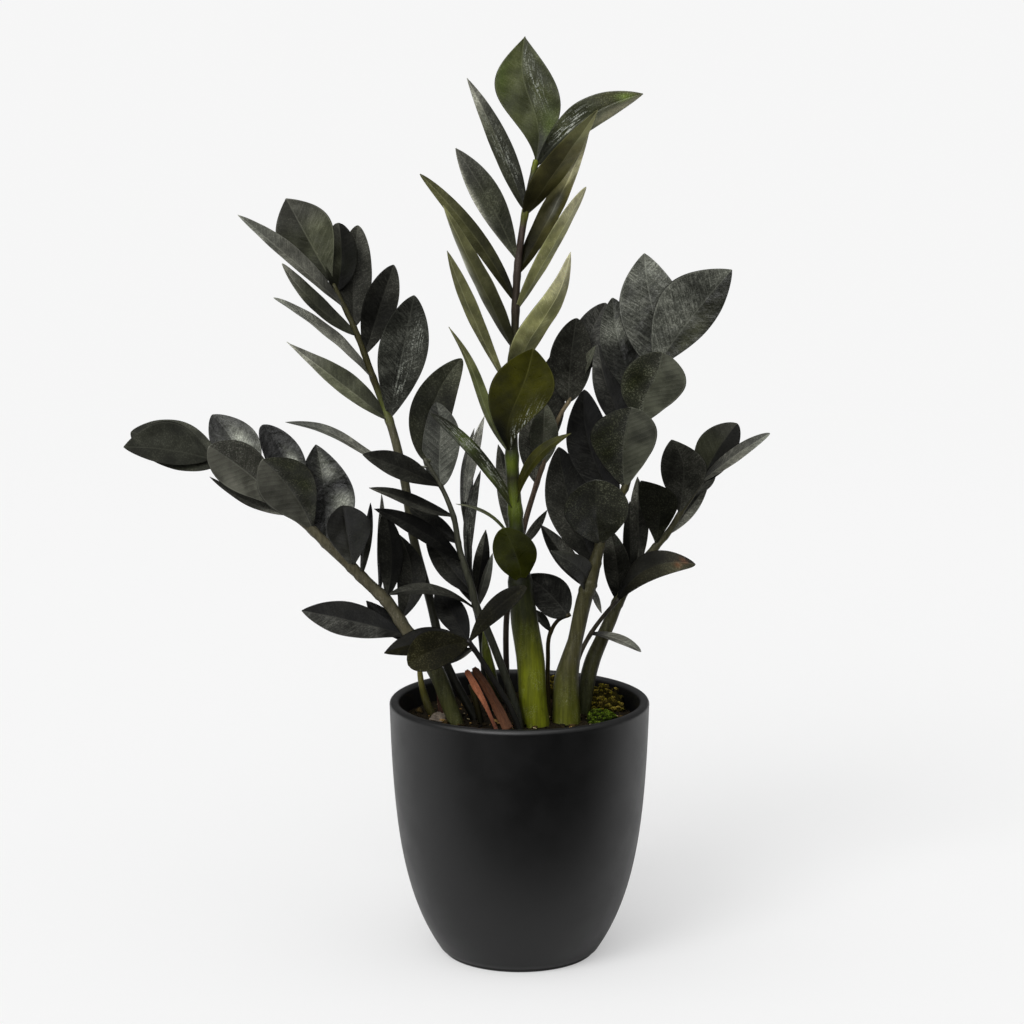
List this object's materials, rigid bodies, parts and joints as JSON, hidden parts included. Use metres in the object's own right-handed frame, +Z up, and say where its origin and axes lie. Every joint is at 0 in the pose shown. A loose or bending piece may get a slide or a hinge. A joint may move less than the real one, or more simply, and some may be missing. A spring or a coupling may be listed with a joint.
{
  "type": "potted zz plant",
  "caption": "Upright houseplant with arching feather-like fronds of thick glossy leaflets, growing in a tapered matt black pot.",
  "frame": {"origin": "middle of the pot's flat base", "axes": "+Z up along the pot's axis, -Y towards the plant's front, +X to the right as seen from the front"},
  "size_m": [0.5121, 0.21, 0.738],
  "materials": {
    "pot": "satin",
    "potting_mix": "matte",
    "olive_leaf": "satin",
    "dark_leaf": "satin",
    "green_shoot": "satin",
    "dry_sheath": "matte",
    "papery_flake": "matte",
    "bark": "matte",
    "moss": "matte"
  },
  "bodies": {
    "root": {"pot": "pot", "potting_mix": "potting_mix", "crown_frond": "olive_leaf", "upper_left_frond": "dark_leaf", "left_arching_frond": "dark_leaf", "inner_left_frond": "dark_leaf", "upright_frond": "dark_leaf", "front_left_shoot": "dark_leaf", "front_right_frond": "dark_leaf", "low_right_frond": "dark_leaf", "right_twig": "dark_leaf", "back_centre_frond": "dark_leaf", "centre_shoot": "dark_leaf", "young_shoot": "green_shoot", "green_spear": "green_shoot", "short_stub": "green_shoot", "dry_strip_1": "dry_sheath", "dry_strip_2": "dry_sheath", "papery_flake": "papery_flake", "dried_scrap": "dry_sheath", "bark_chip_1": "bark", "bark_chip_2": "bark", "bark_chip_3": "bark", "moss_right": "moss", "moss_front": "moss", "moss_back": "moss"}
  },
  "joints": []
}
